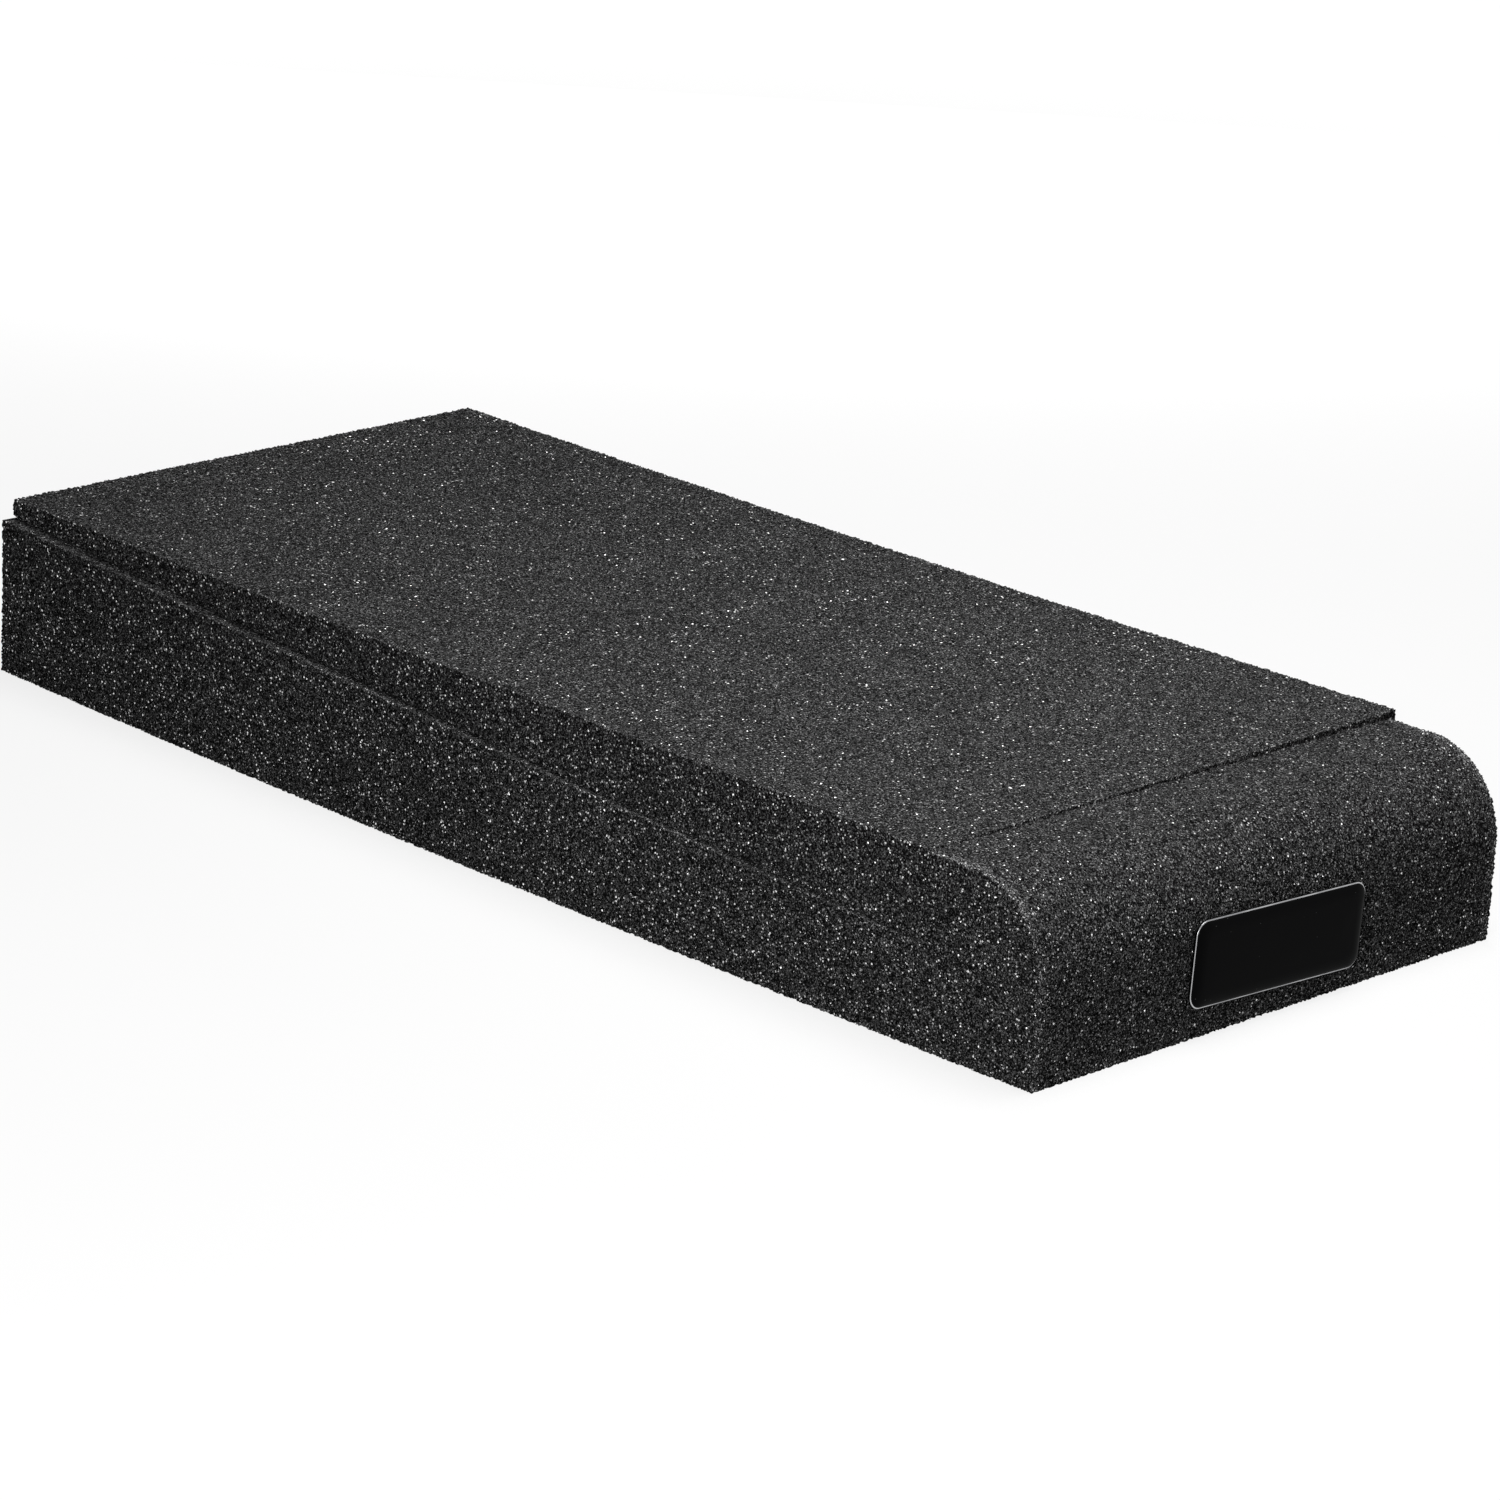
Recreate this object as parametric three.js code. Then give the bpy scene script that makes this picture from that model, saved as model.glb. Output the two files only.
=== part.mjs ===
// A speaker isolation pad of charcoal open-cell foam.
// The base pad is one cut slab: a rounded lip at the front and, behind it, a seat that slopes up to the back.
// The tilt wedge is a second slab that lies on the seat, thick end to the lip, and brings the top level.
// A small badge is taped to the lip's front face: foam tape, a bright metal plate and a black resin inlay.
//
// Millimetres. X is the width, Y runs from the lip at the front to the back, and Z is up.
// The origin is the centre of the base pad's underside.

import * as THREE from 'three';

// base pad
const BASE_LENGTH = 305;
const BASE_WIDTH = 132;
const LIP_HEIGHT = 38;
const LIP_DEPTH = 28.8;            // front face to the upright wall behind the lip
const LIP_RADIUS = 18;             // the round along the lip's top front edge
const LIP_ROUND_SEGMENTS = 20;

// tilt wedge
const WEDGE_FRONT_THICKNESS = 18;  // under the lip's height, at the end that butts against the lip
const WEDGE_BACK_THICKNESS = 4;    // under the lip's height, at the thin end
const WEDGE_SEAT_CLEARANCE = 0.3;  // between the wedge and the seat, measured upright
const WEDGE_END_CLEARANCE = 0.5;   // between the wedge's thick end and the wall behind the lip
const WEDGE_PROUD_LEFT = 0.2;      // how far its top stands above the lip, along the left side
const WEDGE_PROUD_RIGHT = 1.3;     // the same along the right side, where it was cut a little thicker
const WEDGE_INSET_FRONT = 0.6;     // left side of the wedge in from the left side of the base, at the lip
const WEDGE_INSET_BACK = 2.9;      // the same at the back: the wedge lies slightly askew
const WEDGE_OVERHANG = 2.1;        // right side of the wedge out past the right side of the base

// badge
const BADGE_WIDTH = 49;
const BADGE_HEIGHT = 17.3;
const BADGE_CORNER_RADIUS = 3;
const BADGE_CENTRE_HEIGHT = 14.2;  // above the underside
const BADGE_OFFSET = 0.5;          // its middle lies this far left of the pad's middle
const BADGE_TILT = 2.5;            // degrees, clockwise as seen from the front: it was stuck on by hand
const BADGE_FACE_CLEARANCE = 0.1;  // between the foam and the tape
const BOND_CLEARANCE = 0.05;       // between one layer of the badge and the next
const TAPE_THICKNESS = 0.6;
const TAPE_INSET = 0.9;            // tape's edge in from the plate's edge
const PLATE_THICKNESS = 0.5;
const RIM_WIDTH = 0.4;             // bright edge of the plate that shows round the inlay
const INLAY_RISE = 0.8;            // resin dome, at its middle
const INLAY_SHOULDER = 3;          // distance from the inlay's edge over which it rises
const CORNER_SEGMENTS = 8;
const DOME_RINGS = 6;

const frontFace = -BASE_LENGTH / 2;
const backFace = BASE_LENGTH / 2;
const leftSide = -BASE_WIDTH / 2;
const rightSide = BASE_WIDTH / 2;
const lipWall = frontFace + LIP_DEPTH;
const seatFrontHeight = LIP_HEIGHT - WEDGE_FRONT_THICKNESS;
const seatBackHeight = LIP_HEIGHT - WEDGE_BACK_THICKNESS;

const foam = new THREE.MeshStandardMaterial({ name: 'foam', color: 0x2b2b2d, roughness: 0.95, metalness: 0 });
const tapeBlack = new THREE.MeshStandardMaterial({ name: 'tape', color: 0x0d0d0d, roughness: 0.8, metalness: 0 });
const brightMetal = new THREE.MeshStandardMaterial({ name: 'plate', color: 0xc4c6c8, roughness: 0.25, metalness: 1 });
const blackResin = new THREE.MeshStandardMaterial({ name: 'inlay', color: 0x070708, roughness: 0.12, metalness: 0 });

function namedMesh(name, geometry, material) {
  const mesh = new THREE.Mesh(geometry, material);
  mesh.name = name;
  return mesh;
}

// A closed body from quadrilaterals and triangles that share corner points.
function closedBody(points, faces) {
  const triangles = faces.flatMap((face) => {
    const fan = [];
    for (let i = 1; i < face.length - 1; i += 1) {
      fan.push(face[0], face[i], face[i + 1]);
    }
    return fan;
  });
  const geometry = new THREE.BufferGeometry();
  geometry.setAttribute('position', new THREE.Float32BufferAttribute(points.flat(), 3));
  geometry.setIndex(triangles);
  geometry.computeVertexNormals();
  return geometry;
}

// The seat's height under a point at distance y from the pad's middle.
function seatHeight(y) {
  const share = (y - lipWall) / (backFace - lipWall);
  return seatFrontHeight + (seatBackHeight - seatFrontHeight) * share;
}

// The wedge's flat top leans a little across the pad, from its left side up to its right side.
function wedgeTopHeight(x) {
  const share = (x - leftSide) / BASE_WIDTH;
  return LIP_HEIGHT + WEDGE_PROUD_LEFT + (WEDGE_PROUD_RIGHT - WEDGE_PROUD_LEFT) * share;
}

// The base pad's side profile, with Y across and Z up, extruded over the width.
function basePad() {
  const radius = Math.min(LIP_RADIUS, LIP_DEPTH, LIP_HEIGHT);
  const profile = new THREE.Shape();
  profile.moveTo(frontFace, 0);
  profile.lineTo(backFace, 0);
  profile.lineTo(backFace, seatBackHeight);
  profile.lineTo(lipWall, seatFrontHeight);
  profile.lineTo(lipWall, LIP_HEIGHT);
  profile.absarc(frontFace + radius, LIP_HEIGHT - radius, radius, Math.PI / 2, Math.PI, false);
  const slab = new THREE.ExtrudeGeometry(profile, {
    depth: BASE_WIDTH,
    bevelEnabled: false,
    curveSegments: LIP_ROUND_SEGMENTS,
  });
  const along = new THREE.Vector3(0, 1, 0);
  const up = new THREE.Vector3(0, 0, 1);
  const across = new THREE.Vector3(1, 0, 0);
  slab.applyMatrix4(new THREE.Matrix4().makeBasis(along, up, across));
  slab.translate(leftSide, 0, 0);
  return slab;
}

// The wedge has eight corners: four on the seat and four on its top, with upright sides.
function tiltWedge() {
  const thickEnd = lipWall + WEDGE_END_CLEARANCE;
  const plan = [
    [leftSide + WEDGE_INSET_FRONT, thickEnd],
    [rightSide + WEDGE_OVERHANG, thickEnd],
    [rightSide + WEDGE_OVERHANG, backFace],
    [leftSide + WEDGE_INSET_BACK, backFace],
  ];
  const onSeat = plan.map(([x, y]) => [x, y, seatHeight(y) + WEDGE_SEAT_CLEARANCE]);
  const onTop = plan.map(([x, y]) => [x, y, wedgeTopHeight(x)]);
  const faces = [
    [3, 2, 1, 0],
    [4, 5, 6, 7],
    [0, 1, 5, 4],
    [1, 2, 6, 5],
    [2, 3, 7, 6],
    [3, 0, 4, 7],
  ];
  return closedBody([...onSeat, ...onTop], faces);
}

// A rounded rectangle about the origin, as a list of [x, z] points, anticlockwise as seen from the front.
function roundedOutline(width, height, radius) {
  const corners = [
    [width / 2 - radius, height / 2 - radius, 0],
    [radius - width / 2, height / 2 - radius, 1],
    [radius - width / 2, radius - height / 2, 2],
    [width / 2 - radius, radius - height / 2, 3],
  ];
  return corners.flatMap(([cx, cz, quarter]) => {
    const arc = [];
    for (let i = 0; i <= CORNER_SEGMENTS; i += 1) {
      const angle = (quarter + i / CORNER_SEGMENTS) * Math.PI / 2;
      arc.push([cx + radius * Math.cos(angle), cz + radius * Math.sin(angle)]);
    }
    return arc;
  });
}

// Outlines stacked from the back towards the viewer at -Y, closed by a flat back and a flat middle in front.
function stackedLayer(rings) {
  const count = rings[0].outline.length;
  const points = rings.flatMap(({ outline, depth }) => outline.map(([x, z]) => [x, -depth, z]));
  const faces = [];
  for (let ring = 0; ring < rings.length - 1; ring += 1) {
    for (let i = 0; i < count; i += 1) {
      const next = (i + 1) % count;
      const inner = ring * count;
      const outer = inner + count;
      faces.push([inner + i, inner + next, outer + next, outer + i]);
    }
  }
  const last = (rings.length - 1) * count;
  faces.push(Array.from({ length: count }, (_, i) => count - 1 - i));
  faces.push(Array.from({ length: count }, (_, i) => last + i));
  return closedBody(points, faces);
}

function flatLayer(inset, back, thickness) {
  const outline = roundedOutline(
    BADGE_WIDTH - 2 * inset,
    BADGE_HEIGHT - 2 * inset,
    Math.max(BADGE_CORNER_RADIUS - inset, BADGE_CORNER_RADIUS / 4),
  );
  return stackedLayer([{ outline, depth: back }, { outline, depth: back + thickness }]);
}

// The resin dome rises steeply at its edge and rolls over to a nearly flat middle.
function domedLayer(inset, back, rise, shoulder) {
  const width = BADGE_WIDTH - 2 * inset;
  const height = BADGE_HEIGHT - 2 * inset;
  const radius = Math.max(BADGE_CORNER_RADIUS - inset, BADGE_CORNER_RADIUS / 4);
  const outline = roundedOutline(width, height, radius);
  const reach = Math.min(shoulder, height / 3);
  const rings = [];
  for (let ring = 0; ring <= DOME_RINGS; ring += 1) {
    const turn = (ring / DOME_RINGS) * Math.PI / 2;
    const inward = reach * (1 - Math.cos(turn));
    const shrunk = outline.map(([x, z]) => [x * (1 - 2 * inward / width), z * (1 - 2 * inward / height)]);
    rings.push({ outline: shrunk, depth: back + rise * Math.sin(turn) });
  }
  return stackedLayer(rings);
}

function badge() {
  const tapeBack = BADGE_FACE_CLEARANCE;
  const plateBack = tapeBack + TAPE_THICKNESS + BOND_CLEARANCE;
  const inlayBack = plateBack + PLATE_THICKNESS + BOND_CLEARANCE;
  const group = new THREE.Group();
  group.add(
    namedMesh('badge_tape', flatLayer(TAPE_INSET, tapeBack, TAPE_THICKNESS), tapeBlack),
    namedMesh('badge_plate', flatLayer(0, plateBack, PLATE_THICKNESS), brightMetal),
    namedMesh('badge_inlay', domedLayer(RIM_WIDTH, inlayBack, INLAY_RISE, INLAY_SHOULDER), blackResin),
  );
  group.position.set(-BADGE_OFFSET, frontFace, BADGE_CENTRE_HEIGHT);
  group.rotation.y = THREE.MathUtils.degToRad(BADGE_TILT);
  return group;
}

const isolationPad = new THREE.Group();
isolationPad.add(
  namedMesh('base_pad', basePad(), foam),
  namedMesh('tilt_wedge', tiltWedge(), foam),
  badge(),
);

export default isolationPad;
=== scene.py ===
# %% [markdown]
# # A speaker isolation pad in open-cell foam
# The pad is two slabs of charcoal foam and a small badge. The base pad has a rounded lip and a
# sloping seat, the tilt wedge lies on the seat, and the badge is taped to the lip's front face.
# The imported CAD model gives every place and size, so it is loaded first and never moved. What is
# made here only dresses it: foam with broken cells along every cut, and a badge that shines.

# %% Load the frame
import math

import bmesh
import bpy
import numpy as np
from mathutils import Matrix, Vector
from mathutils.geometry import delaunay_2d_cdt


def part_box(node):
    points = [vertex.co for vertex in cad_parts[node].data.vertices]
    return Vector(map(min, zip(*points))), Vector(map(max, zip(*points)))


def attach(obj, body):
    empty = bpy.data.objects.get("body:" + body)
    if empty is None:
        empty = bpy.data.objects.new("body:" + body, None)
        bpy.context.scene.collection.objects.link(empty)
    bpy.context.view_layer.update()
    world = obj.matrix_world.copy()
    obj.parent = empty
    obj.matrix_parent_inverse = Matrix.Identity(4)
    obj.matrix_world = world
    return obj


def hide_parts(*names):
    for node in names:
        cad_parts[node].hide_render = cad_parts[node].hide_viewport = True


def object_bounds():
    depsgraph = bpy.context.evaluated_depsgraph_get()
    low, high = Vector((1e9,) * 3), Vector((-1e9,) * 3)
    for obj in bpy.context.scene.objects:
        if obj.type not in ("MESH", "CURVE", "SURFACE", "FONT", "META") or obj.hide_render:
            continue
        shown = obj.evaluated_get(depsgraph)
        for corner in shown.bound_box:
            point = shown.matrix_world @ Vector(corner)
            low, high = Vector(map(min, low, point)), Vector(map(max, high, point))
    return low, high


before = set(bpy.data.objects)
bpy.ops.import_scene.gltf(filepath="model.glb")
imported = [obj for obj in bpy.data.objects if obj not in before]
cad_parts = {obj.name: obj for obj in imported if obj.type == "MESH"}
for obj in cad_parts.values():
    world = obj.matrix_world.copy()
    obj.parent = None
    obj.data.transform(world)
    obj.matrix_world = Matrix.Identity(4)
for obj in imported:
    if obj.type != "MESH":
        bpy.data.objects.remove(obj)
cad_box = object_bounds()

MM = 0.001
scene = bpy.context.scene
print("CAD box in mm:", [round(side / MM, 1) for side in cad_box[1] - cad_box[0]])

# %% [markdown]
# ## The camera
# The pad was photographed from its front left corner, a little above it, with a long lens, so its
# long edges hardly draw together. A camera could be aimed with a Track To constraint. Writing its
# three axes as a matrix is plainer here, because the real camera was also tilted by three degrees.

# %% Place the camera
LENS = 127.86
CAMERA_PLACE = Vector((-0.7371, -0.7374, 0.3567))
CAMERA_AHEAD = Vector((0.67654, 0.66574, -0.31478)).normalized()
CAMERA_RIGHT = Vector((0.71253, -0.69975, 0.05148)).normalized()

camera_up = CAMERA_RIGHT.cross(CAMERA_AHEAD)
camera = bpy.data.objects.new("camera", bpy.data.cameras.new("camera"))
scene.collection.objects.link(camera)
turn = Matrix((CAMERA_RIGHT, camera_up, -CAMERA_AHEAD)).transposed().to_4x4()
camera.matrix_world = Matrix.Translation(CAMERA_PLACE) @ turn
camera.data.lens = LENS
camera.data.clip_start = 0.01
camera.data.clip_end = 50
scene.camera = camera
print("camera is", round((CAMERA_PLACE - Vector((0, 0, 0.02))).length, 3), "m from the pad")

# %% [markdown]
# ## A skin of cut foam
# Open-cell foam is a mass of bubbles with only their edges left, and a saw cuts it flat. So each
# face is flat as a whole but rough close up, and each sharp edge is ragged where the cut opened a
# bubble. A modifier could displace a subdivided block, but its rows of points would show as
# stripes. Here each face is filled with scattered points, closer together beside the edges, and
# Blender's own Delaunay triangulation joins them, so the roughness has no direction. Struts on an
# edge have lost their neighbours and catch light from two sides, so each face also notes how much
# painted edge highlight it gets there.

# %% Scatter points over a face
EDGE_STEP = 0.36
FINE_ZONES = [(0.3, 1.0, 0.42), (1.15, 2.4, 0.62), (2.6, math.inf, 0.88)]
COARSE_ZONES = [(0.6, 3.0, 1.3), (4.0, math.inf, 5.0)]
JITTER = 0.3
# Painted edge highlight on a plain cut edge: how much the foam's colour is lifted on it, and over how many
# mm.
PLAIN_EDGE_LIGHT = (0.35, 0.6)
EDGE_LIGHT_FALL = 1.5


def stations(corners, step):
    """Points round a closed outline, each side cut into equal steps no longer than step."""
    found = []
    for start, end in zip(corners, np.roll(corners, -1, axis=0)):
        count = max(1, math.ceil(np.linalg.norm(end - start) / step - 1e-6))
        shares = np.arange(count)[:, None] / count
        found.append(start + (end - start) * shares)
    return np.concatenate(found)


def distance_to(outline, points):
    nearest = np.full(len(points), np.inf)
    for start, end in zip(outline, np.roll(outline, -1, axis=0)):
        side = end - start
        share = np.clip((points - start) @ side / (side @ side), 0, 1)
        gap = points - start - share[:, None] * side
        nearest = np.minimum(nearest, np.linalg.norm(gap, axis=1))
    return nearest


def is_inside(outline, points):
    found = np.zeros(len(points), bool)
    across, up = points[:, 0], points[:, 1]
    for (x0, y0), (x1, y1) in zip(outline, np.roll(outline, -1, axis=0)):
        if y0 != y1:
            crossing = (x1 - x0) * (up - y0) / (y1 - y0) + x0
            found ^= ((y0 > up) != (y1 > up)) & (across < crossing)
    return found


def scattered(outline, zones, rng):
    """Jittered points inside an outline. A zone is (nearest, farthest, spacing) from its edge."""
    low, high = outline.min(0), outline.max(0)
    found = []
    for nearest, farthest, spacing in zones:
        columns = np.arange(low[0], high[0], spacing)
        rows = np.arange(low[1], high[1], spacing * math.sqrt(0.75))
        u, v = np.meshgrid(columns, rows)
        u = u + (np.arange(len(rows)) % 2)[:, None] * spacing / 2
        points = np.stack([u.ravel(), v.ravel()], axis=1)
        points += rng.uniform(-JITTER, JITTER, points.shape) * spacing
        away = distance_to(outline, points)
        found.append(points[is_inside(outline, points) & (away >= nearest) & (away < farthest)])
    return np.concatenate(found)


def painted_highlight(away, edge_light):
    """How much painted edge highlight a point gets, some millimetres from an edge: (amount on it, width).
    """
    amount, width = edge_light
    return amount * np.clip(1 - away / width, 0, 1) ** EDGE_LIGHT_FALL


def cut_face(outline, place, zones, rng, edge_light=PLAIN_EDGE_LIGHT):
    """One face of a foam block: its points in space, its triangles, how far in each point is,
    and how much painted edge highlight it gets."""
    rim = stations(outline, EDGE_STEP)
    points = np.concatenate([rim, scattered(outline, zones, rng)])
    loop = list(range(len(rim)))
    flat, _, triangles, *_ = delaunay_2d_cdt([Vector(p) for p in points], [], [loop], 1, 1e-6)
    flat = np.array([p[:] for p in flat])
    away = distance_to(outline, flat)
    return place(flat), triangles, away, painted_highlight(away, edge_light)


def flat_face(corners, zones, rng, edge_light=PLAIN_EDGE_LIGHT):
    """A face whose corners, given in order, lie in one plane."""
    corners = np.array(corners, float)
    origin = corners[0]
    along = corners[1] - origin
    along /= np.linalg.norm(along)
    out = np.cross(along, corners[-1] - origin)
    across = np.cross(out / np.linalg.norm(out), along)
    outline = np.stack([(corners - origin) @ along, (corners - origin) @ across], axis=1)
    return cut_face(outline, lambda p: origin + p[:, :1] * along + p[:, 1:] * across, zones, rng, edge_light)


print("points stand", EDGE_STEP, "mm apart along the edges")

# %% [markdown]
# ## Roughen and bend the skin
# Where the saw opened a bubble the surface sinks by a fraction of a millimetre, and along an edge
# it sinks more. Foam is also soft: both slabs have taken a slight bend from how they were stored,
# so their long sides aren't quite straight. The points are moved in numpy, which handles a hundred
# thousand of them at once and gives the same result on every run because its generator is seeded.
# The distance from an edge and the painted edge highlight stay on the mesh as attributes; the material
# reads the highlight.

# %% Weld the faces of a block and roughen them
PIT_DEPTH = 0.12
PIT_FALL = 1.5
NOTCH_DEPTH = 0.24
SPUR_LENGTH = 0.14
WAVE_HEIGHT = 0.03
WAVELENGTHS = (9, 14, 23, 37)
FOOT_BEND = 2.3
TOP_BEND = 0.8
FAR_BEND = 2.2
FAR_BEND_MIDDLE = 14.0
BEND_HEIGHT = 38.0
HALF_LENGTH = cad_box[1].y / MM
HALF_WIDTH = -cad_box[0].x / MM
WELD_DISTANCE = 0.01
SNUG_SHARE = 0.85
FLOOR_SHARE = 0.2


def saw_waves(points, rng):
    """The slow rise and fall that a saw blade leaves in soft foam."""
    height = np.zeros(len(points))
    for wavelength in WAVELENGTHS:
        heading = rng.normal(size=3)
        heading /= np.linalg.norm(heading)
        height += np.sin(points @ heading * 2 * math.pi / wavelength + rng.uniform(0, 6.28))
    return height * WAVE_HEIGHT / 2


def stored_bend(points):
    """Both slabs bow towards the left in their middle, most at the foot of the left side."""
    x, y, z = points.T
    near_bow = 1 - (y / HALF_LENGTH) ** 2
    far_bow = np.clip(1 - ((y - FAR_BEND_MIDDLE) / (HALF_LENGTH - FAR_BEND_MIDDLE)) ** 2, 0, 1)
    across = np.clip((x + HALF_WIDTH) / (2 * HALF_WIDTH), 0, 1)
    rise = np.clip(z / BEND_HEIGHT, 0, 1)
    near = FOOT_BEND + (TOP_BEND - FOOT_BEND) * rise
    bent = points.copy()
    bent[:, 0] -= near_bow * near * (1 - across) + far_bow * FAR_BEND * across
    return bent


def foam_block(name, faces, snug, rng):
    """Welds the faces into one closed skin, roughens it, bends it, and gives the object.
    Where snug says 1 the slabs press on each other, and the skin stays nearly flat."""
    points = np.concatenate([face[0] for face in faces])
    starts = np.cumsum([0] + [len(face[0]) for face in faces])
    triangles = [[i + start for i in t] for face, start in zip(faces, starts) for t in face[1]]
    mesh = bpy.data.meshes.new(name)
    mesh.from_pydata(points.tolist(), [], triangles)
    # The second attribute holds the painted edge highlight that the material reads.
    for number, attribute in ((2, "cut_edge"), (3, "painted_highlight")):
        stored = mesh.attributes.new(attribute, "FLOAT", "POINT")
        stored.data.foreach_set("value", np.concatenate([face[number] for face in faces]))

    skin = bmesh.new()
    skin.from_mesh(mesh)
    bmesh.ops.remove_doubles(skin, verts=skin.verts, dist=WELD_DISTANCE)
    bmesh.ops.recalc_face_normals(skin, faces=skin.faces)
    open_edges = sum(not edge.is_manifold for edge in skin.edges)
    skin.to_mesh(mesh)
    skin.free()

    count = len(mesh.vertices)
    points = np.empty(count * 3)
    mesh.vertices.foreach_get("co", points)
    points = points.reshape(-1, 3)
    normals = np.empty(count * 3)
    mesh.vertex_normals.foreach_get("vector", normals)
    normals = normals.reshape(-1, 3)
    from_edge = np.empty(count)
    mesh.attributes["cut_edge"].data.foreach_get("value", from_edge)

    pits = PIT_DEPTH * rng.uniform(0, 1, count) ** PIT_FALL
    ragged = rng.uniform(-SPUR_LENGTH, NOTCH_DEPTH, count)
    sink = np.where(from_edge < WELD_DISTANCE, ragged, pits) - saw_waves(points, rng) + WAVE_HEIGHT
    sink *= 1 - SNUG_SHARE * snug(points)
    rough = points - normals * sink[:, None]
    rough[:, 2] = np.maximum(rough[:, 2], FLOOR_SHARE * pits)
    bent = stored_bend(rough) * MM
    mesh.vertices.foreach_set("co", bent.ravel())
    mesh.shade_smooth()
    mesh.update()

    block = bpy.data.objects.new(name, mesh)
    scene.collection.objects.link(block)
    print(name, "has", len(mesh.polygons), "triangles and", open_edges, "open edges")
    return block


# %% [markdown]
# ## The base pad
# One slab, cut to a side profile: flat underneath, upright at the back, a seat that slopes down to
# the front, a wall, and the lip, whose top front edge is rounded. The two sides are that profile.
# The lip's top, round and front face are one sheet of foam bent over, so they are filled as one
# strip and then laid along the profile, which keeps the round free of seams.

# %% Cut the base pad
base_low, base_high = (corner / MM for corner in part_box("base_pad"))
LIP_DEPTH = 28.8
LIP_RADIUS = 18
SEAT_FRONT = 20
SEAT_BACK = 34
ROUND_STEPS = 60
# Painted highlight along the lip's side edges.
LIP_EDGE_LIGHT = (0.9, 3.2)
# Painted highlight on the narrow ledge of the seat beside the wedge, where light from above falls.
LEDGE_LIGHT = (0.5, 5.0)
PRESSED_GAP = 0.2
OPEN_TOP = 0.6
SEED = 7

lip_wall = base_low.y + LIP_DEPTH
lip_round = []
for step in range(ROUND_STEPS + 1):
    angle = math.pi / 2 * (1 + step / ROUND_STEPS)
    lip_round.append((
        base_low.y + LIP_RADIUS + LIP_RADIUS * math.cos(angle),
        base_high.z - LIP_RADIUS + LIP_RADIUS * math.sin(angle),
    ))
lip_line = np.array([(lip_wall, base_high.z), *lip_round, (base_low.y, 0)])
back_line = [(base_high.y, 0), (base_high.y, SEAT_BACK), (lip_wall, SEAT_FRONT)]


def base_strip(start, end, zones, rng, edge_light=PLAIN_EDGE_LIGHT):
    """A flat face of the base pad that runs right across it, between two points of its profile."""
    corners = [(x, *point) for x, point in (
        (base_low.x, start), (base_low.x, end), (base_high.x, end), (base_high.x, start),
    )]
    return flat_face(corners, zones, rng, edge_light)


def lip_skin(rng):
    """The lip's top, round and front face as one strip laid over the profile."""
    run = np.concatenate([[0], np.cumsum(np.linalg.norm(np.diff(lip_line, axis=0), axis=1))])
    left = [(base_low.x, s) for s in run]
    right = [(base_high.x, s) for s in run[::-1]]

    def lay(points):
        y = np.interp(points[:, 1], run, lip_line[:, 0])
        z = np.interp(points[:, 1], run, lip_line[:, 1])
        return np.stack([points[:, 0], y, z], axis=1)

    points, triangles, away, _ = cut_face(np.array(left + right), lay, FINE_ZONES, rng)
    from_side = base_high.x - np.abs(points[:, 0])
    return points, triangles, away, painted_highlight(from_side, LIP_EDGE_LIGHT)


def seat_height(y):
    share = (y - lip_wall) / (base_high.y - lip_wall)
    return SEAT_FRONT + (SEAT_BACK - SEAT_FRONT) * share


def pressed(points):
    """1 on the seat and on most of the wall behind the lip, where the two slabs touch."""
    x, y, z = points.T
    on_seat = (y > lip_wall - 0.05) & (np.abs(z - seat_height(y)) < PRESSED_GAP)
    on_wall = (np.abs(y - lip_wall) < PRESSED_GAP) & (z > SEAT_FRONT) & (z < base_high.z - OPEN_TOP)
    return np.where(on_seat | on_wall, 1.0, 0.0)


rng = np.random.default_rng(SEED)
profile = [*back_line, *lip_line]
base_faces = [
    flat_face([(base_low.x, *p) for p in profile], FINE_ZONES, rng),
    flat_face([(base_high.x, *p) for p in profile], FINE_ZONES, rng),
    base_strip(lip_line[-1], back_line[0], COARSE_ZONES, rng),
    base_strip(back_line[0], back_line[1], FINE_ZONES, rng),
    base_strip(back_line[1], back_line[2], COARSE_ZONES, rng, LEDGE_LIGHT),
    base_strip(back_line[2], lip_line[0], COARSE_ZONES, rng),
    lip_skin(rng),
]
base_foam = foam_block("base_foam", base_faces, pressed, rng)

# %% [markdown]
# ## The tilt wedge
# The second slab is thick at the lip and thin at the back. It was laid on the seat by hand: it is
# slightly askew, overhangs the right side, and its right side stands a little higher than the lip.
# Eight corners say all of that, so it is made of six flat faces between them. Soft foam also gives:
# the lower left edge lifts a little off the seat, and the joint at the lip opens slightly at the top.

# %% Cut the tilt wedge
wedge_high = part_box("tilt_wedge")[1] / MM
TOUCHING_GAP = 0.08
INSET_FRONT = 0.6
INSET_BACK = 2.9
PROUD_LEFT = 0.2
PROUD_RIGHT = 1.3
LIFT_BACK = 0.45
LIFT_FRONT = 0.2
LIFT_REACH = 2.5
JOINT_GAP = 0.25
JOINT_REACH = 8.0


def wedge_top(x):
    share = (x - base_low.x) / (base_high.x - base_low.x)
    return base_high.z + PROUD_LEFT + (PROUD_RIGHT - PROUD_LEFT) * share


thick_end = lip_wall + TOUCHING_GAP
plan = [
    (base_low.x + INSET_FRONT, thick_end),
    (wedge_high.x, thick_end),
    (wedge_high.x, wedge_high.y),
    (base_low.x + INSET_BACK, wedge_high.y),
]
under = [(x, y, seat_height(y) + TOUCHING_GAP) for x, y in plan]
over = [(x, y, wedge_top(x)) for x, y in plan]
wedge_faces = [
    flat_face(over, FINE_ZONES, rng),
    flat_face(under, COARSE_ZONES, rng),
]
for i in range(4):
    j = (i + 1) % 4
    wedge_faces.append(flat_face([under[i], under[j], over[j], over[i]], FINE_ZONES, rng))


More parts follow.
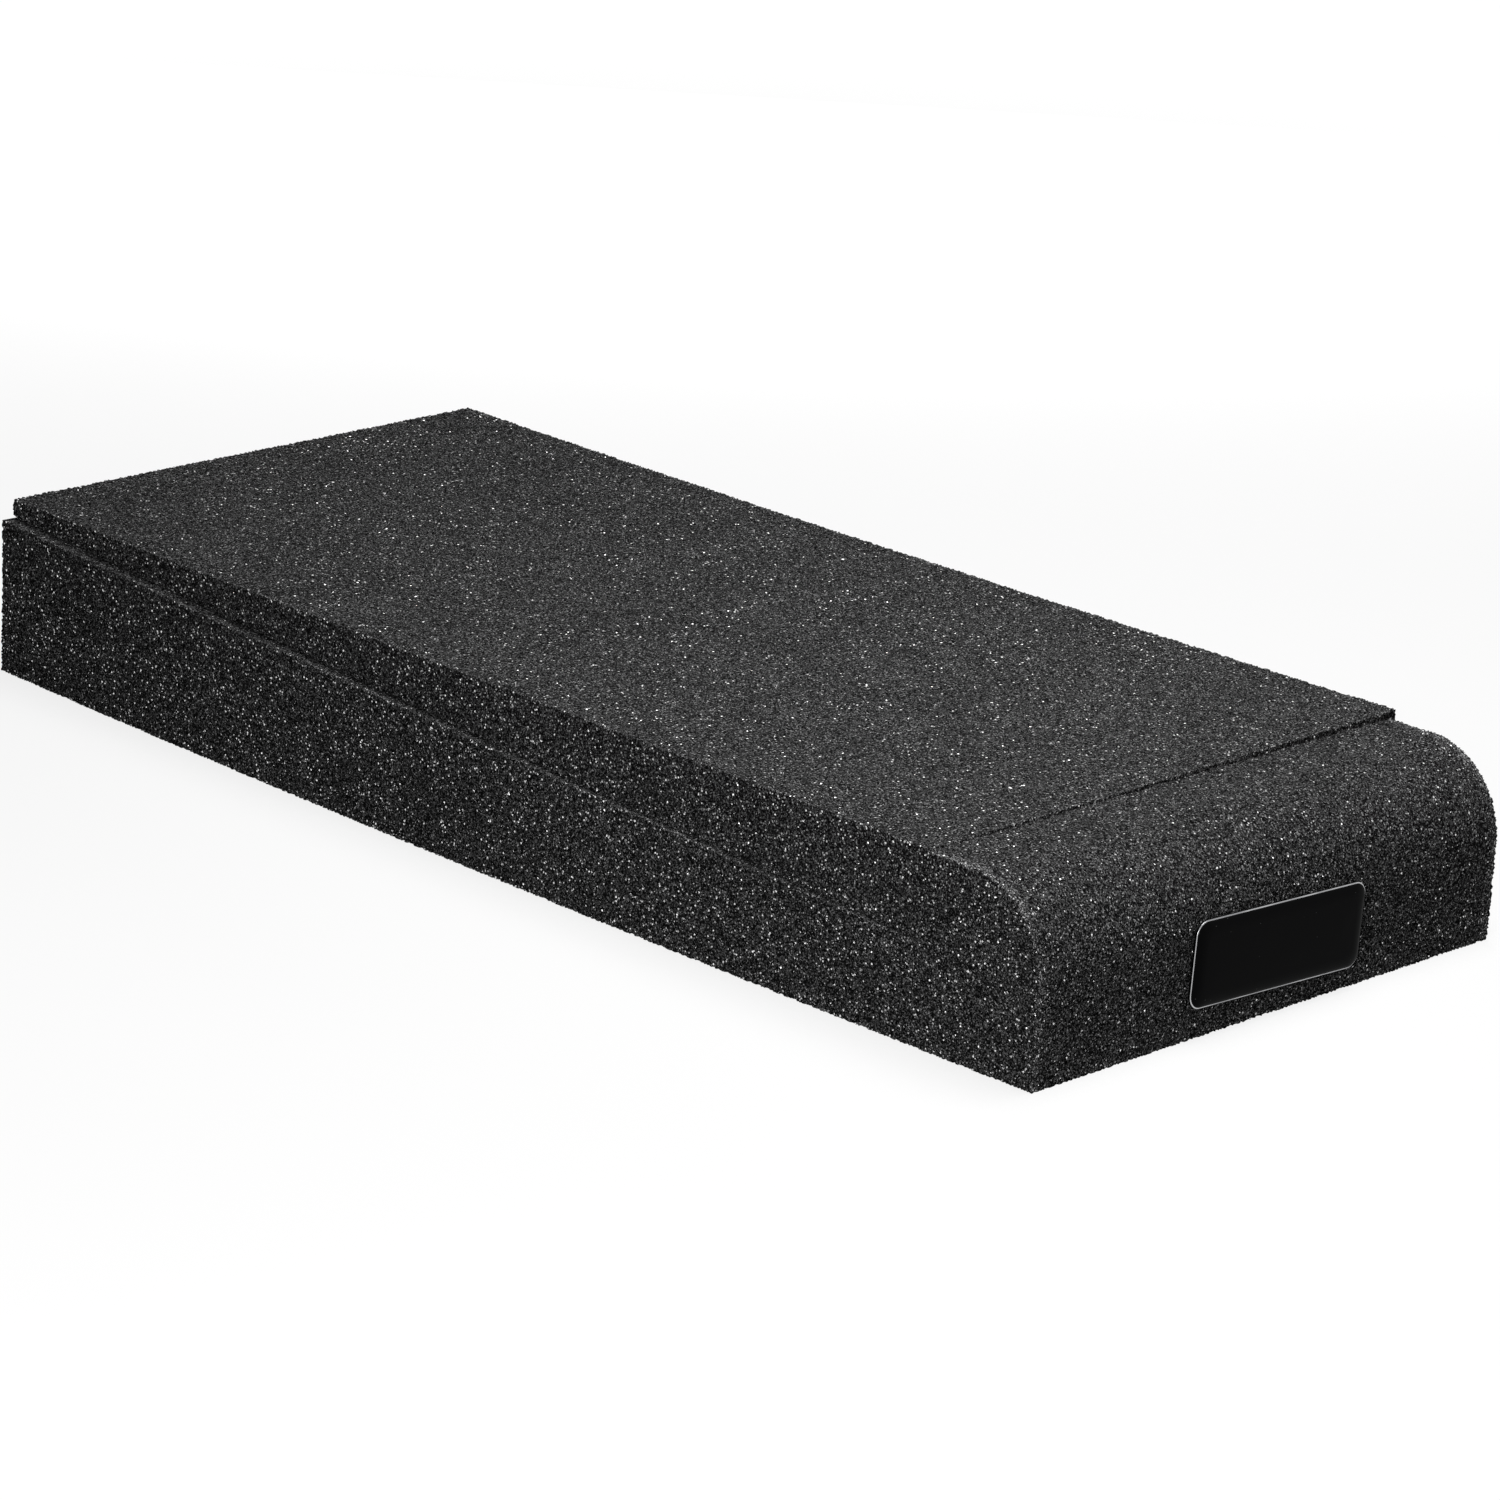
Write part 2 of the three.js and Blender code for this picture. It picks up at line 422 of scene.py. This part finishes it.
def relaxed(faces):
    """Lifts the wedge's lower left edge a little off the seat, most at the thin end, and opens
    the joint at the top of its thick end, most at the right."""
    loosened = []
    for points, *rest in faces:
        x, y, z = points.T
        along = np.clip((y - thick_end) / (wedge_high.y - thick_end), 0, 1)
        across = np.clip((x - base_low.x) / (wedge_high.x - base_low.x), 0, 1)
        side = base_low.x + INSET_FRONT + (INSET_BACK - INSET_FRONT) * along
        inward = np.clip(1 - (x - side) / LIFT_REACH, 0, 1)
        low = np.clip(1 - (z - seat_height(y)) / LIFT_REACH, 0, 1)
        lift = (LIFT_FRONT + (LIFT_BACK - LIFT_FRONT) * along) * inward * low
        rise = np.clip((z - SEAT_FRONT) / (base_high.z - SEAT_FRONT), 0, 1)
        back = JOINT_GAP * across * rise ** 2 * np.clip(1 - (y - thick_end) / JOINT_REACH, 0, 1)
        loosened.append((points + np.stack([0 * x, back, lift], axis=1), *rest))
    return loosened


wedge_foam = foam_block("wedge_foam", relaxed(wedge_faces), pressed, rng)

# %% [markdown]
# ## The badge
# A badge like this is three layers: a pad of foam tape, a thin metal plate, and a drop of black
# resin that was poured on the plate and domed under its own surface tension. Each layer is the same
# rounded rectangle, stepped forward and drawn in. A cube with a Bevel modifier would give the plate
# but not the dome, so all three are built alike, by stacking outlines and joining them with quads.

# %% Draw and stack the badge's outlines
BADGE_WIDTH = 49.0
BADGE_HEIGHT = 17.3
CORNER_RADIUS = 3.0
CORNER_STEPS = 24
BADGE_PLACE = Vector((-0.5, base_low.y, 14.2))
BADGE_TILT = math.radians(2.5)
SHARP_ANGLE = math.radians(50)


def badge_outline(inset):
    """A rounded rectangle as (x, z) points, drawn in from the badge's edge by the inset."""
    radius = max(CORNER_RADIUS - inset, CORNER_RADIUS / 4)
    reach = np.array((BADGE_WIDTH, BADGE_HEIGHT)) / 2 - inset - radius
    turns = np.linspace(0, math.pi / 2, CORNER_STEPS + 1)
    corners = []
    for quarter, (right, up) in enumerate(((1, 1), (-1, 1), (-1, -1), (1, -1))):
        angles = turns + quarter * math.pi / 2
        arc = np.stack([np.cos(angles), np.sin(angles)], axis=1) * radius
        corners.append(arc + reach * (right, up))
    return np.concatenate(corners)


def badge_layer(name, rings):
    """Joins a stack of (outline, distance in front of the lip) into one closed layer."""
    layer = bmesh.new()
    rows = [[layer.verts.new((x, -depth, z)) for x, z in outline] for outline, depth in rings]
    for back, front in zip(rows, rows[1:]):
        for i in range(len(back)):
            layer.faces.new((back[i - 1], back[i], front[i], front[i - 1]))
    layer.faces.new(rows[0])
    layer.faces.new(rows[-1])
    bmesh.ops.recalc_face_normals(layer, faces=layer.faces)
    mesh = bpy.data.meshes.new(name)
    layer.to_mesh(mesh)
    layer.free()
    tilt = Matrix.Rotation(BADGE_TILT, 4, "Y")
    mesh.transform(Matrix.Scale(MM, 4) @ Matrix.Translation(BADGE_PLACE) @ tilt)
    mesh.shade_smooth()
    mesh.set_sharp_from_angle(angle=SHARP_ANGLE)
    made = bpy.data.objects.new(name, mesh)
    scene.collection.objects.link(made)
    print(name, "has", len(mesh.polygons), "faces")
    return made


# %% [markdown]
# ## Tape, plate and inlay
# The tape is squeezed between the lip and the plate, so its edge bulges and its back sinks a little
# into the foam. The plate was punched from sheet, which leaves its front edge slightly rounded: that
# round is what flashes along the badge's outline. The resin rises steeply at its edge and then is
# almost flat, with a last slight crown across the middle.

# %% Make the badge's three layers
TAPE_INSET = 0.9
TAPE_BACK = -0.15
TAPE_FRONT = 0.72
TAPE_BULGE = 0.2
PLATE_BACK = 0.75
PLATE_FRONT = 1.25
PLATE_ROUND = 0.12
RIM_WIDTH = 0.24
INLAY_BACK = 1.25
INLAY_RISE = 0.8
SHOULDER_SHARE = 0.93
SHOULDER = 3.0
CROWN_REACH = 7.4

tape_rings = []
for share in np.linspace(0, 1, 9):
    bulge = TAPE_BULGE * math.sin(math.pi * share)
    tape_rings.append((badge_outline(TAPE_INSET - bulge), TAPE_BACK + (TAPE_FRONT - TAPE_BACK) * share))
tape = badge_layer("badge_foam_tape", tape_rings)

plate_rings = [(badge_outline(0), PLATE_BACK)]
for turned in np.linspace(0, math.pi / 2, 9):
    drawn_in = PLATE_ROUND * (1 - math.cos(turned))
    plate_rings.append((badge_outline(drawn_in), PLATE_FRONT - PLATE_ROUND * (1 - math.sin(turned))))
plate = badge_layer("badge_bright_plate", plate_rings)

inlay_edge = badge_outline(RIM_WIDTH)
inlay_half = np.array((BADGE_WIDTH, BADGE_HEIGHT)) / 2 - RIM_WIDTH
inlay_rings = []
for turned in np.linspace(0, math.pi / 2, 19):
    drawn_in = SHOULDER * (1 - math.cos(turned))
    height = INLAY_RISE * SHOULDER_SHARE * math.sin(turned)
    inlay_rings.append((inlay_edge * (1 - drawn_in / inlay_half), INLAY_BACK + height))
for share in np.linspace(0, 1, 11)[1:]:
    drawn_in = SHOULDER + (CROWN_REACH - SHOULDER) * share
    height = INLAY_RISE * (SHOULDER_SHARE + (1 - SHOULDER_SHARE) * math.sin(math.pi / 2 * share))
    inlay_rings.append((inlay_edge * (1 - drawn_in / inlay_half), INLAY_BACK + height))
inlay = badge_layer("badge_black_inlay", inlay_rings)

for piece, node in ((tape, "badge_tape"), (plate, "badge_plate"), (inlay, "badge_inlay")):
    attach(piece, "root")
    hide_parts(node)

# %% [markdown]
# ## Helpers for materials
# Every material here is a small graph of nodes. Two helpers keep the graphs readable: one adds a
# node and fills its inputs in one line, the other starts a material with its Principled BSDF.

# %% Add nodes and start materials
def add(tree, kind, inputs=None, **options):
    """Adds a node, sets its options, and fills each input with a value or another node's output."""
    made = tree.nodes.new(kind)
    for option, value in options.items():
        setattr(made, option, value)
    for key, value in (inputs or {}).items():
        if isinstance(value, bpy.types.NodeSocket):
            tree.links.new(value, made.inputs[key])
        else:
            made.inputs[key].default_value = value
    return made


def maths(tree, operation, *values):
    return add(tree, "ShaderNodeMath", dict(enumerate(values)), operation=operation).outputs[0]


def faded(tree, value, start, end, low=0.0, high=1.0):
    """A soft step: low before start, high after end."""
    inputs = {"Value": value, "From Min": start, "From Max": end, "To Min": low, "To Max": high}
    return add(tree, "ShaderNodeMapRange", inputs, interpolation_type="SMOOTHSTEP").outputs[0]


def new_material(name):
    material = bpy.data.materials.new(name)
    material.use_nodes = True
    tree = material.node_tree
    shader = tree.nodes["Principled BSDF"]
    place = tree.nodes.new("ShaderNodeTexCoord").outputs["Object"]
    return material, tree, shader, place


def new_group(name, inputs, outputs):
    """An empty node group with its sockets: names mapped to (kind, default) and to kind."""
    group = bpy.data.node_groups.new(name, "ShaderNodeTree")
    for socket, (kind, value) in inputs.items():
        made = group.interface.new_socket(socket, in_out="INPUT", socket_type=kind)
        if value is not None:
            made.default_value = value
    for socket, kind in outputs.items():
        group.interface.new_socket(socket, in_out="OUTPUT", socket_type=kind)
    source = group.nodes.new("NodeGroupInput").outputs
    return group, source, group.nodes.new("NodeGroupOutput").inputs


# %% [markdown]
# ## Foam cells
# Cut open-cell foam shows a net of thin struts round dark holes, and here and there a scrap of cell
# skin that flashes in the light. A Voronoi texture is the natural model, because bubbles pack in the
# same way as Voronoi cells do. A coarse one draws the net. A finer one splits it into grains, and
# gives each grain its own tilt. White noise, read once for each grain, decides how much light the
# grain returns and which grains are hollow. A third Voronoi texture places the scraps of skin as
# small flakes, partly metallic, whose pale colour is a painted glint. Upright faces get more dark
# grains, a painted shade of light grazing over the struts, and the long sides get more flakes, as
# painted glints. The pad and the badge's tape both use this, so it is one node group with its own
# values in each.

# %% Build the foam cell group
GRAIN_TILT = 1.3
DULL_LIGHT = 0.34
DULL_FALL = 2.2
BARE_FALL = 14.0
NET_SHARE = 0.3
CELLS_PER_GRAIN = 0.4
FLAKES_PER_GRAIN = 0.7
FLAKE_REACH = 0.62
DIM_FLAKE = 0.5
FLAKE_METAL = 0.8
STRUT_WIDTH = 0.2
HOLLOW_SHARE = 0.15
# More dark grains on upright faces: painted shade of light grazing over the struts.
UPRIGHT_SHADE = 0.15
# Extra painted glints on the long sides: flakes there are this much more common.
MORE_SIDE_GLINTS = 1.9

cells, given, result = new_group(
    "foam cells",
    {
        "Position": ("NodeSocketVector", None),
        "Grains per Metre": ("NodeSocketFloat", 2400.0),
        "Hole Colour": ("NodeSocketColor", (0.01, 0.01, 0.01, 1)),
        "Strut Colour": ("NodeSocketColor", (0.1, 0.1, 0.1, 1)),
        "Flake and Glint Colour": ("NodeSocketColor", (0.5, 0.5, 0.5, 1)),
        "Flake Share": ("NodeSocketFloat", 0.04),
    },
    {
        "Colour": "NodeSocketColor",
        "Metal": "NodeSocketFloat",
        "Roughness": "NodeSocketFloat",
        "Height": "NodeSocketFloat",
        "Normal": "NodeSocketVector",
    },
)


def vector(operation, first, second):
    key = "Scale" if operation == "SCALE" else 1
    return add(cells, "ShaderNodeVectorMath", {0: first, key: second}, operation=operation).outputs[0]


in_grains = vector("SCALE", given["Position"], given["Grains per Metre"])
in_cells = vector("SCALE", in_grains, CELLS_PER_GRAIN)
in_flakes = vector("SCALE", in_grains, FLAKES_PER_GRAIN)
grain = add(cells, "ShaderNodeTexVoronoi", {"Vector": in_grains, "Scale": 1.0}, feature="F1")
flake = add(cells, "ShaderNodeTexVoronoi", {"Vector": in_flakes, "Scale": 1.0}, feature="F1")
wall = add(cells, "ShaderNodeTexVoronoi", {"Vector": in_cells, "Scale": 1.0},
           feature="DISTANCE_TO_EDGE").outputs["Distance"]


def chances(voronoi):
    """Three random numbers, the same all over one of the texture's cells."""
    noise = add(cells, "ShaderNodeTexWhiteNoise", {"Vector": voronoi.outputs["Position"]})
    return add(cells, "ShaderNodeSeparateColor", {0: noise.outputs["Color"]}).outputs


def blend(amount, first, second):
    return add(cells, "ShaderNodeMix", {0: amount, 6: first, 7: second}, data_type="RGBA").outputs[2]


upright = cells.nodes.new("ShaderNodeTexCoord").outputs["Normal"]
facing = add(cells, "ShaderNodeSeparateXYZ", {0: upright}).outputs
on_end = faded(cells, maths(cells, "ABSOLUTE", facing["Z"]), 0.2, 0.9, 1.0, 0.0)
on_side = faded(cells, maths(cells, "ABSOLUTE", facing["X"]), 0.3, 0.8)

strut = faded(cells, wall, 0.0, STRUT_WIDTH, 1.0, 1.0 - NET_SHARE)
of_grain, of_flake = chances(grain), chances(flake)
dull = maths(cells, "MULTIPLY", maths(cells, "POWER", of_grain[0], DULL_FALL), DULL_LIGHT)
bare = maths(cells, "POWER", of_grain[1], BARE_FALL)
light = maths(cells, "MULTIPLY_ADD", dull, strut, bare)
# Upright faces get more dark grains, a painted shade of grazing light.
hollow_and_shade_share = maths(cells, "MULTIPLY_ADD", on_end, UPRIGHT_SHADE, HOLLOW_SHARE)
hollow_and_shade = maths(cells, "LESS_THAN", of_grain[2], hollow_and_shade_share)
light = maths(cells, "MULTIPLY", light, maths(cells, "SUBTRACT", 1.0, hollow_and_shade))
net = blend(light, given["Hole Colour"], given["Strut Colour"])
mottle = add(cells, "ShaderNodeTexNoise", {"Vector": given["Position"], "Scale": 70.0, "Detail": 2.0})
net = vector("SCALE", net, faded(cells, mottle.outputs["Fac"], 0.25, 0.75, 0.93, 1.07))

# Painted glints: flakes are more common on faces that look to the side.
share = maths(cells, "MULTIPLY", given["Flake Share"],
              maths(cells, "MULTIPLY_ADD", on_side, MORE_SIDE_GLINTS, 1.0))
is_flake = maths(cells, "MULTIPLY", maths(cells, "LESS_THAN", of_flake[0], share),
                 maths(cells, "LESS_THAN", flake.outputs["Distance"], FLAKE_REACH))
flake_light = maths(cells, "MULTIPLY", is_flake, faded(cells, of_flake[1], 0.0, 1.0, DIM_FLAKE, 1.0))
# The flakes' pale colour is a painted glint; their metal part reflects for real.
colour = blend(flake_light, net, given["Flake and Glint Colour"])

lean = vector("SCALE", vector("SUBTRACT", grain.outputs["Color"], (0.5, 0.5, 0.5)), GRAIN_TILT)
leaning = vector("ADD", upright, lean)
facet = add(cells, "ShaderNodeVectorMath", {0: leaning}, operation="NORMALIZE").outputs[0]

for socket, value in (
    ("Colour", colour),
    ("Metal", maths(cells, "MULTIPLY", flake_light, FLAKE_METAL)),
    ("Roughness", maths(cells, "MULTIPLY_ADD", flake_light, -0.5, 0.9)),
    ("Height", strut),
    ("Normal", facet),
):
    cells.links.new(value, result[socket])
print("foam cells:", len(cells.nodes), "nodes")

# %% [markdown]
# ## Charcoal foam
# The pad's foam is almost black with a neutral cast. Along each cut edge the struts stand free and
# catch light from two sides, so the edge reads as a fine pale line, and that line is painted: an
# Attribute node reads the painted edge highlight that the mesh stores, and the foam's own colour is
# multiplied by it, so the painted highlight is as grainy as the foam.

# %% Make the charcoal foam
# How strongly the painted edge highlight lifts the foam's colour.
EDGE_LIGHT_GAIN = 1.4
foam, tree, shader, place = new_material("charcoal_foam")
net = add(tree, "ShaderNodeGroup", node_tree=cells)
for socket, value in {
    "Grains per Metre": 4200.0,
    "Hole Colour": (0.005, 0.005, 0.0051, 1),
    "Strut Colour": (0.42, 0.42, 0.423, 1),
    # Near-white painted glint colour for the flakes.
    "Flake and Glint Colour": (0.95, 0.95, 0.95, 1),
    "Flake Share": 0.0108,
}.items():
    net.inputs[socket].default_value = value
tree.links.new(place, net.inputs["Position"])
# Painted highlight: the stored edge light lifts the foam's colour along its cut edges.
edge_light = add(tree, "ShaderNodeAttribute", attribute_name="painted_highlight").outputs["Fac"]
paler = maths(tree, "MULTIPLY_ADD", edge_light, EDGE_LIGHT_GAIN, 1.0)
wear_and_highlight = add(tree, "ShaderNodeVectorMath", {0: net.outputs["Colour"], "Scale": paler},
           operation="SCALE").outputs[0]
bump = add(tree, "ShaderNodeBump", {
    "Height": net.outputs["Height"], "Normal": net.outputs["Normal"],
    "Strength": 0.5, "Distance": 0.0001,
}).outputs[0]
tree.links.new(wear_and_highlight, shader.inputs["Base Color"])
tree.links.new(net.outputs["Metal"], shader.inputs["Metallic"])
tree.links.new(net.outputs["Roughness"], shader.inputs["Roughness"])
tree.links.new(bump, shader.inputs["Normal"])
shader.inputs["Specular IOR Level"].default_value = 0.0

for block, node in ((base_foam, "base_pad"), (wedge_foam, "tilt_wedge")):
    block.data.materials.append(foam)
    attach(block, "root")
    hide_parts(node)

# %% [markdown]
# ## Handling marks
# Metal and resin that people touch carry the same three marks: hair-fine scratches, grains of dust,
# and smudges that dull the shine in patches. Stretched noise cut at one level gives the scratches, a
# sparse Voronoi texture gives the dust, and slow noise gives the smudges. Plate and inlay both have
# them in different amounts, so they are one node group that puts out three masks.

# %% Build the handling marks group
SCRATCH_STRETCH = (60.0, 1600.0, 1600.0)
SCRATCH_LEAN = (0.0, 0.7, 0.0)
SCRATCH_WIDTH = 0.012
DUST_PER_METRE = 1300.0
DUST_SIZE = 0.16
SMUDGE_SCALE = 160.0

marks, given, result = new_group(
    "handling marks",
    {
        "Position": ("NodeSocketVector", None),
        "Scratches": ("NodeSocketFloat", 0.5),
        "Dust": ("NodeSocketFloat", 0.1),
    },
    {
        "Scratches": "NodeSocketFloat",
        "Dust": "NodeSocketFloat",
        "Smudges": "NodeSocketFloat",
    },
)
stretched = add(marks, "ShaderNodeMapping", {
    "Vector": given["Position"], "Rotation": SCRATCH_LEAN, "Scale": SCRATCH_STRETCH,
}).outputs[0]
hairs = add(marks, "ShaderNodeTexNoise", {"Vector": stretched, "Scale": 1.0, "Detail": 1.0}).outputs["Fac"]
off_level = maths(marks, "ABSOLUTE", maths(marks, "SUBTRACT", hairs, 0.5))
patches = add(marks, "ShaderNodeTexNoise", {"Vector": given["Position"], "Scale": 330.0}).outputs["Fac"]
scratched = maths(marks, "MULTIPLY", faded(marks, off_level, 0.0, SCRATCH_WIDTH, 1.0, 0.0),
                  faded(marks, patches, 0.45, 0.6))
specks = add(marks, "ShaderNodeTexVoronoi", {"Vector": given["Position"], "Scale": DUST_PER_METRE})
chance = add(marks, "ShaderNodeTexWhiteNoise", {"Vector": specks.outputs["Position"]}).outputs["Value"]
dusty = maths(marks, "MULTIPLY", maths(marks, "LESS_THAN", chance, given["Dust"]),
              faded(marks, specks.outputs["Distance"], DUST_SIZE * 0.6, DUST_SIZE, 1.0, 0.0))
slow = add(marks, "ShaderNodeTexNoise", {"Vector": given["Position"], "Scale": SMUDGE_SCALE, "Detail": 4.0})
marks.links.new(maths(marks, "MULTIPLY", scratched, given["Scratches"]), result["Scratches"])
marks.links.new(dusty, result["Dust"])
marks.links.new(faded(marks, slow.outputs["Fac"], 0.4, 0.65), result["Smudges"])
print("handling marks:", len(marks.nodes), "nodes")

# %% [markdown]
# ## Foam tape
# The tape is a denser, finer foam than the pad, dyed black. The same foam cells are used again with
# more grains to the metre and hardly any flakes.

# %% Make the foam tape
tape_foam, tree, shader, place = new_material("black_foam_tape")
fine = add(tree, "ShaderNodeGroup", node_tree=cells)
for socket, value in {
    "Grains per Metre": 6500.0,
    "Hole Colour": (0.003, 0.003, 0.003, 1),
    "Strut Colour": (0.09, 0.09, 0.09, 1),
    # Grey painted glint colour for the tape's few flakes.
    "Flake and Glint Colour": (0.3, 0.3, 0.3, 1),
    "Flake Share": 0.003,
}.items():
    fine.inputs[socket].default_value = value
tree.links.new(place, fine.inputs["Position"])
tree.links.new(fine.outputs["Colour"], shader.inputs["Base Color"])
tree.links.new(fine.outputs["Roughness"], shader.inputs["Roughness"])
tree.links.new(fine.outputs["Normal"], shader.inputs["Normal"])
shader.inputs["Specular IOR Level"].default_value = 0.0
tape.data.materials.append(tape_foam)

# %% [markdown]
# ## Bright plate
# The plate is aluminium, dyed black, and then its front edge was cut once more with a diamond, which
# leaves one thin bright line round the badge. So the finish changes with depth: a Separate XYZ node
# reads how far forward a point lies, and everything behind the cut is black. On the bright line the
# cutter's fine marks and the dull patches of touch go into the roughness and a very slight bump.

# %% Make the bright plate
CUT_DEPTH = 0.14
metal, tree, shader, place = new_material("diamond_cut_aluminium")
wear_and_highlight = add(tree, "ShaderNodeGroup", {"Position": place, "Scratches": 0.8, "Dust": 0.05}, node_tree=marks)
tone = add(tree, "ShaderNodeMix", {
    0: wear_and_highlight.outputs["Smudges"], 6: (0.45, 0.453, 0.46, 1), 7: (0.3, 0.303, 0.31, 1),
}, data_type="RGBA").outputs[2]
forward = add(tree, "ShaderNodeSeparateXYZ", {0: place}).outputs["Y"]
cut_from = (base_low.y - PLATE_FRONT + CUT_DEPTH) * MM
is_black = faded(tree, forward, cut_from, cut_from + 0.04 * MM)
tone = add(tree, "ShaderNodeMix", {0: is_black, 6: tone, 7: (0.012, 0.012, 0.013, 1)},
           data_type="RGBA").outputs[2]
dull = maths(tree, "MULTIPLY_ADD", wear_and_highlight.outputs["Smudges"], 0.14, 0.18)
dull = maths(tree, "MULTIPLY_ADD", wear_and_highlight.outputs["Scratches"], 0.2, dull)
lines = add(tree, "ShaderNodeBump", {
    "Height": wear_and_highlight.outputs["Scratches"], "Strength": 0.3, "Distance": 0.00002,
}).outputs[0]
tree.links.new(tone, shader.inputs["Base Color"])
tree.links.new(dull, shader.inputs["Roughness"])
tree.links.new(lines, shader.inputs["Normal"])
shader.inputs["Metallic"].default_value = 1.0
plate.data.materials.append(metal)

# %% [markdown]
# ## Black resin
# The inlay is cast resin: deep black, smooth, and bare. In a white studio a glossy black dome would
# mirror the whole white floor and turn grey, which the photographed badge doesn't do, so its
# specular level is kept low. A few grains of dust and faint smudges stop it from looking perfect.

# %% Make the black resin
resin, tree, shader, place = new_material("black_resin")
wear_and_highlight = add(tree, "ShaderNodeGroup", {"Position": place, "Scratches": 0.5, "Dust": 0.035}, node_tree=marks)
tone = add(tree, "ShaderNodeMix", {
    0: wear_and_highlight.outputs["Dust"], 6: (0.0025, 0.0025, 0.0027, 1), 7: (0.07, 0.07, 0.07, 1),
}, data_type="RGBA").outputs[2]
dull = maths(tree, "MULTIPLY_ADD", wear_and_highlight.outputs["Smudges"], 0.1, 0.08)
dull = maths(tree, "MULTIPLY_ADD", wear_and_highlight.outputs["Dust"], 0.5, dull)
lines = add(tree, "ShaderNodeBump", {
    "Height": wear_and_highlight.outputs["Scratches"], "Strength": 0.2, "Distance": 0.00001,
}).outputs[0]
tree.links.new(tone, shader.inputs["Base Color"])
tree.links.new(dull, shader.inputs["Roughness"])
tree.links.new(lines, shader.inputs["Normal"])
shader.inputs["Specular IOR Level"].default_value = 0.015
inlay.data.materials.append(resin)

# %% [markdown]
# ## The floor, the backdrop and the lamps
# A packshot needs few lamps. One softbox hangs above the front of the pad, one stands beside the
# camera and lights the long side, and a low one behind keeps the far faces from going black. The
# floor is pale, and it brightens to white away from the pad, as a paper sweep does when it is lit on
# its own. Light Path keeps that extra white out of the light that falls on the foam, while the badge
# can still mirror it.

# %% Lay the floor
FLOOR_SIZE = 12.0
bpy.ops.mesh.primitive_plane_add(size=FLOOR_SIZE, location=(0, 0, 0))
floor = bpy.context.object
floor.name = "floor"

paper = bpy.data.materials.new("paper_sweep")
paper.use_nodes = True
tree = paper.node_tree
tree.nodes.clear()


def seen_directly(tree):
    """1 for rays from the camera and for rays that a shiny or clear surface sends on."""
    path = tree.nodes.new("ShaderNodeLightPath").outputs
    total = maths(tree, "ADD", path["Is Camera Ray"], path["Is Glossy Ray"])
    total = maths(tree, "ADD", total, path["Is Transmission Ray"])
    return maths(tree, "MINIMUM", total, 1.0)


place = tree.nodes.new("ShaderNodeTexCoord").outputs["Object"]
away = add(tree, "ShaderNodeVectorMath", {0: place}, operation="LENGTH").outputs["Value"]
sweep = faded(tree, away, 0.2, 0.9, 0.8, 1.0)
glow = add(tree, "ShaderNodeEmission", {
    "Color": (1, 1, 1, 1), "Strength": maths(tree, "MULTIPLY", sweep, seen_directly(tree)),
}).outputs[0]
matte = add(tree, "ShaderNodeBsdfDiffuse", {"Color": (0.2, 0.2, 0.2, 1)}).outputs[0]
both = add(tree, "ShaderNodeAddShader", {0: matte, 1: glow}).outputs[0]
add(tree, "ShaderNodeOutputMaterial", {"Surface": both})
floor.data.materials.append(paper)

# %% Light the pad
AMBIENT = 0.04
world = bpy.data.worlds.new("studio")
world.use_nodes = True
scene.world = world
tree = world.node_tree
tree.nodes.clear()
dim = add(tree, "ShaderNodeBackground", {"Color": (1, 1, 1, 1), "Strength": AMBIENT}).outputs[0]
white = add(tree, "ShaderNodeBackground", {"Color": (1, 1, 1, 1), "Strength": 1.0}).outputs[0]
both = add(tree, "ShaderNodeMixShader", {0: seen_directly(tree), 1: dim, 2: white}).outputs[0]
add(tree, "ShaderNodeOutputWorld", {"Surface": both})


def soft_lamp(name, place, target, size, power):
    """A rectangular softbox that faces the target."""
    lamp = bpy.data.lights.new(name, "AREA")
    lamp.shape = "RECTANGLE"
    lamp.size, lamp.size_y = size
    lamp.energy = power
    holder = bpy.data.objects.new(name, lamp)
    holder.location = place
    facing = Vector(target) - Vector(place)
    holder.rotation_euler = facing.to_track_quat("-Z", "Y").to_euler()
    holder.visible_camera = False
    scene.collection.objects.link(holder)
    print(name, "gives", power, "W")


soft_lamp("lamp_above", (0.03, -0.15, 0.45), (0, -0.1, 0), (0.25, 0.25), 1.7)
soft_lamp("lamp_front", (-0.57, -0.46, 0.25), (0, -0.1, 0), (0.3, 0.3), 3.05)
soft_lamp("lamp_back", (0.48, 0.5, 0.16), (0, 0.05, 0), (0.3, 0.3), 2.7)

scene.view_settings.view_transform = "Standard"
